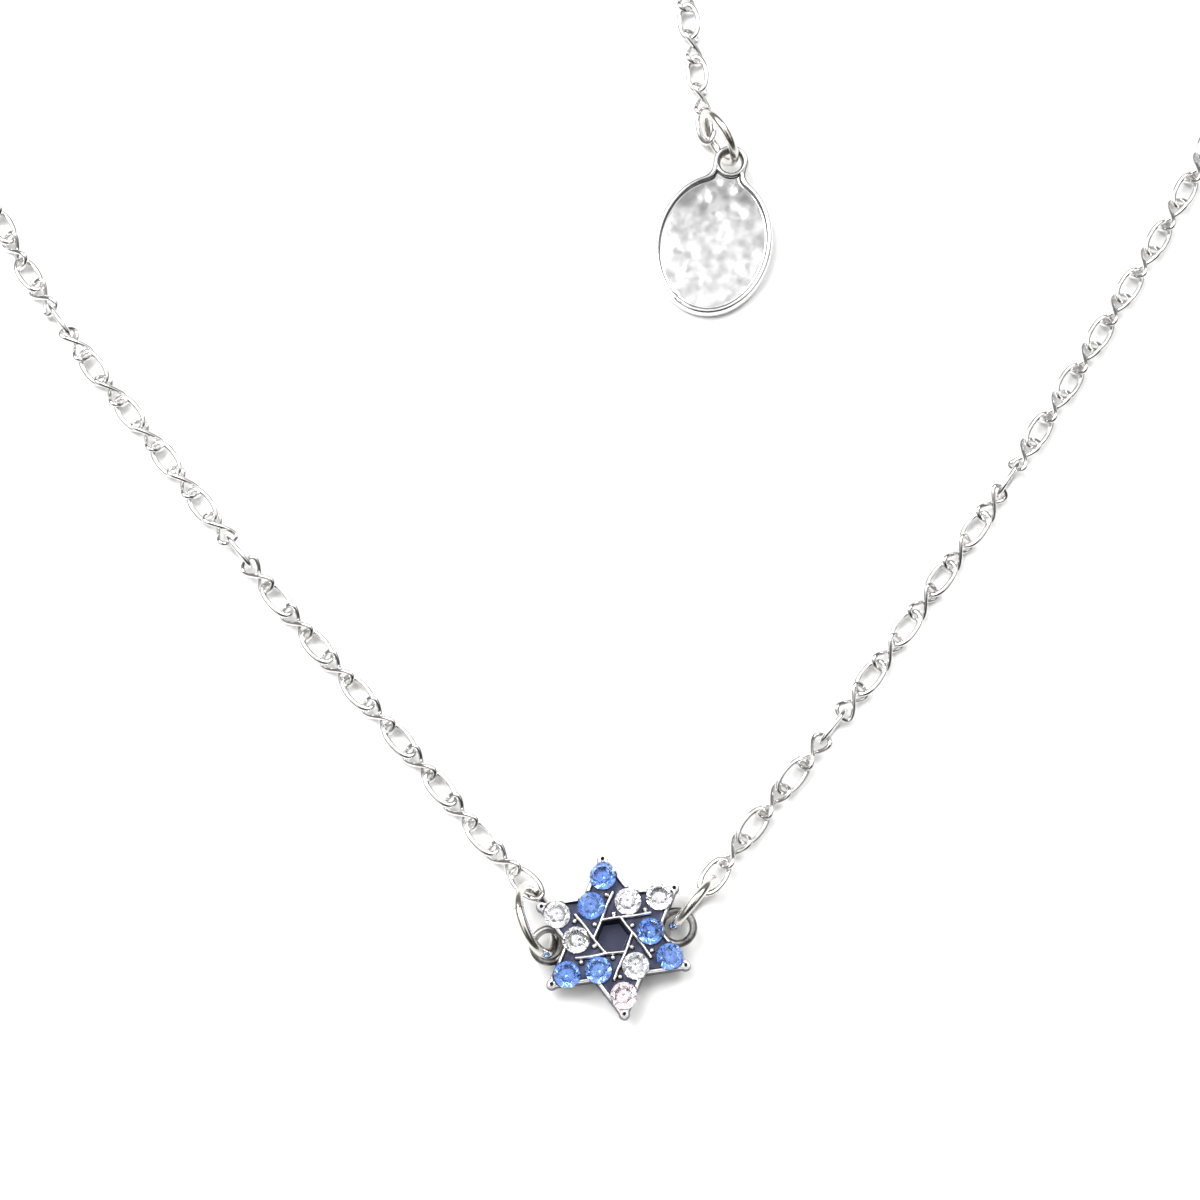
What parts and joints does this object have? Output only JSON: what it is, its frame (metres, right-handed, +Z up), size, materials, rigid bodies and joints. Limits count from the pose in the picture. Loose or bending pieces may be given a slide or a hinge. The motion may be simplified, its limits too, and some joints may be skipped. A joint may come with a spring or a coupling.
{
  "type": "star of david pendant necklace",
  "caption": "Six-pointed star pendant with interlaced bands and round blue and clear stones, held between two chain halves of a necklace with an oval tag on its extender.",
  "frame": {"origin": "middle of the star's flat back, which lies on the table", "axes": "+Z up out of the star's face, +Y up the necklace from the star to the clasp, +X to the right seen from above"},
  "size_m": [0.1194, 0.158, 0.0057],
  "materials": {
    "oxidised_silver": "cast silver, darkened in the sunken face, bright on rims and ridges",
    "blue_stone": "clear light blue cut stone",
    "clear_stone": "clear colourless cut stone",
    "bright_silver": "polished",
    "chain_silver": "polished wire",
    "tag_silver": "cast, rough grey field inside a polished rim"
  },
  "bodies": {
    "root": {"star_frame": "oxidised_silver", "blue_stone_1": "blue_stone", "blue_stone_2": "blue_stone", "blue_stone_3": "blue_stone", "blue_stone_4": "blue_stone", "blue_stone_5": "blue_stone", "blue_stone_6": "blue_stone", "clear_stone_1": "clear_stone", "clear_stone_2": "clear_stone", "clear_stone_3": "clear_stone", "clear_stone_4": "clear_stone", "clear_stone_5": "clear_stone", "clear_stone_6": "clear_stone", "left_jump_ring": "bright_silver", "right_jump_ring": "bright_silver", "chain_left": "chain_silver", "chain_right": "chain_silver", "clasp": "bright_silver", "end_ring": "bright_silver", "extender_chain": "chain_silver", "tag_ring": "bright_silver", "tag": "tag_silver"}
  },
  "joints": []
}
